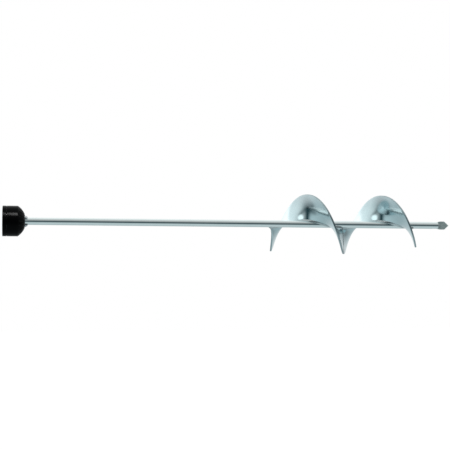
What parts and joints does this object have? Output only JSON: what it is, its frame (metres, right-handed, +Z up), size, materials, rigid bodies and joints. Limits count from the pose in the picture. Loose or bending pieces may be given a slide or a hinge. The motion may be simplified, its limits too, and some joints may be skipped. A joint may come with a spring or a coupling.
{
  "type": "mortar mixing paddle",
  "caption": "Long round-shafted mortar mixing paddle with a helical steel flight and flat spear tip, held in a compact keyless drill chuck.",
  "frame": {"origin": "centre of the spindle thread's mouth on the chuck's rear face", "axes": "+X along the shaft from the chuck to the spear tip, +Z up"},
  "size_m": [0.6025, 0.08, 0.08],
  "materials": {
    "sleeve_black": "moulded black nylon with a satin gloss",
    "core_steel": "turned steel, dark oxide",
    "bearing_steel": "ground and hardened bearing steel",
    "cage_brass": "pressed brass",
    "nut_steel": "turned steel",
    "jaw_steel": "ground hardened steel",
    "shaft_steel": "bright zinc plated cold drawn bar",
    "flight_steel": "zinc plated rolled plate with a blue tint",
    "weld_steel": "rippled fillet weld, zinc plated",
    "tip_steel": "forged and ground, zinc plated"
  },
  "bodies": {
    "chuck": {"chuck_body": "core_steel", "rear_sleeve": "sleeve_black", "thrust_washer": "bearing_steel"},
    "sleeve": {"front_sleeve": "sleeve_black", "sleeve_insert": "core_steel", "nut_band": "nut_steel", "split_nut_half_1": "nut_steel", "split_nut_half_2": "nut_steel"},
    "bearing": {"bearing_cage": "cage_brass", "bearing_balls": "bearing_steel"},
    "jaw_1": {"jaw_1": "jaw_steel"},
    "jaw_2": {"jaw_2": "jaw_steel"},
    "jaw_3": {"jaw_3": "jaw_steel"},
    "paddle": {"paddle_shaft": "shaft_steel", "rear_flight": "flight_steel", "front_flight": "flight_steel", "flight_joint_weld": "weld_steel", "rear_flight_weld": "weld_steel", "front_flight_weld": "weld_steel", "spear_tip": "tip_steel", "tip_weld": "weld_steel"}
  },
  "joints": [
    {"name": "sleeve_turn", "type": "hinge", "parent": "chuck", "child": "sleeve", "pos_m": [0.014, 0, 0], "axis": [1, 0, 0], "range_deg": [0, 1080]},
    {"name": "bearing_turn", "type": "hinge", "parent": "chuck", "child": "bearing", "pos_m": [0.0097, 0, 0], "axis": [1, 0, 0], "range_deg": [0, 540]},
    {"name": "jaw_1_slide", "type": "slide", "parent": "chuck", "child": "jaw_1", "axis": [-0.9613, -0.1844, 0.2048], "range_m": [0, 0.00625]},
    {"name": "jaw_2_slide", "type": "slide", "parent": "chuck", "child": "jaw_2", "axis": [-0.9613, -0.0852, -0.2621], "range_m": [0, 0.00625]},
    {"name": "jaw_3_slide", "type": "slide", "parent": "chuck", "child": "jaw_3", "axis": [-0.9613, 0.2696, 0.0573], "range_m": [0, 0.00625]},
    {"name": "paddle_slide", "type": "slide", "parent": "chuck", "child": "paddle", "axis": [1, 0, 0], "range_m": [0, 0.018]}
  ],
  "couplings": [
    {"joint": "bearing_turn", "follows": "sleeve_turn", "ratio": 0.5},
    {"joint": "jaw_1_slide", "follows": "sleeve_turn", "m_per_rad": 0.00033114},
    {"joint": "jaw_2_slide", "follows": "sleeve_turn", "m_per_rad": 0.00033114},
    {"joint": "jaw_3_slide", "follows": "sleeve_turn", "m_per_rad": 0.00033114}
  ]
}
